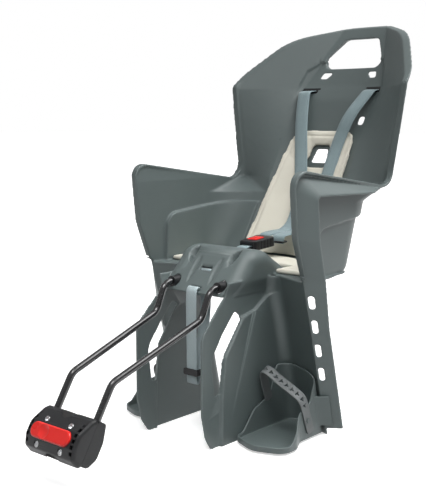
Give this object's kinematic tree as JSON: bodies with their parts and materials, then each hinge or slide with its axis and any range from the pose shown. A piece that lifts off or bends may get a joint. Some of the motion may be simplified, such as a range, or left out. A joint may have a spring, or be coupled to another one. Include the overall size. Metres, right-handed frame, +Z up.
{
  "type": "child bike seat",
  "caption": "Moulded rear child bike seat with reclined back, arm wings, leg channels, sliding footrests, harness, foam pads and a two-bar carrier with a seat tube clamp.",
  "frame": {"origin": "centre of the bounding box in plan, on the floor the legs stand on", "axes": "+Z up, the child faces -Y, +X is the child's left"},
  "size_m": [0.428, 0.9176, 0.7717],
  "materials": {
    "shell": "satin moulded polypropylene",
    "pad": "closed-cell foam cushion, soft matt",
    "webbing": "woven polyester webbing",
    "steel_bar": "gloss black coated steel rod",
    "black_plastic": "satin black moulding",
    "red_plastic": "gloss red moulding",
    "steel": "zinc-plated steel",
    "rubber": "soft matt rubber",
    "strap_rubber": "soft grey rubber"
  },
  "bodies": {
    "seat": {"seat_shell": "shell", "back_pad": "pad", "seat_pad": "pad", "shoulder_strap_left": "webbing", "shoulder_strap_right": "webbing", "strap_bar_left": "black_plastic", "strap_bar_right": "black_plastic", "crotch_strap": "webbing", "buckle_housing": "black_plastic", "buckle_tongue": "black_plastic", "safety_strap": "webbing", "ladder_lock": "black_plastic", "carrier_bar_left": "steel_bar", "carrier_bar_right": "steel_bar", "bar_bush_left": "black_plastic", "bar_bush_right": "black_plastic", "clamp_plate": "steel", "clamp_screws": "steel", "block_casing": "black_plastic", "block_jaw": "black_plastic", "block_screws": "steel", "block_nuts": "steel", "liner_front": "rubber", "liner_rear": "rubber"},
    "release_button": {"release_button": "red_plastic", "latch_left": "steel", "latch_right": "steel"},
    "buckle_button": {"buckle_button": "red_plastic"},
    "footrest_left": {"footrest_left": "shell", "foot_strap_left": "strap_rubber", "strap_stud_left": "shell"},
    "footrest_right": {"footrest_right": "shell", "foot_strap_right": "strap_rubber", "strap_stud_right": "shell"}
  },
  "joints": [
    {"name": "release_press", "type": "slide", "parent": "seat", "child": "release_button", "axis": [0, 0.848, -0.5299], "range_m": [0, 0.004], "stiffness_N_per_m": 1500, "springref_m": -0.002},
    {"name": "buckle_press", "type": "slide", "parent": "seat", "child": "buckle_button", "axis": [0, 0.0872, -0.9962], "range_m": [0, 0.003], "stiffness_N_per_m": 1200, "springref_m": -0.002},
    {"name": "footrest_left_height", "type": "slide", "parent": "seat", "child": "footrest_left", "axis": [0, -0.2508, 0.968], "range_m": [0, 0.09]},
    {"name": "footrest_right_height", "type": "slide", "parent": "seat", "child": "footrest_right", "axis": [0, -0.2508, 0.968], "range_m": [0, 0.09]}
  ]
}
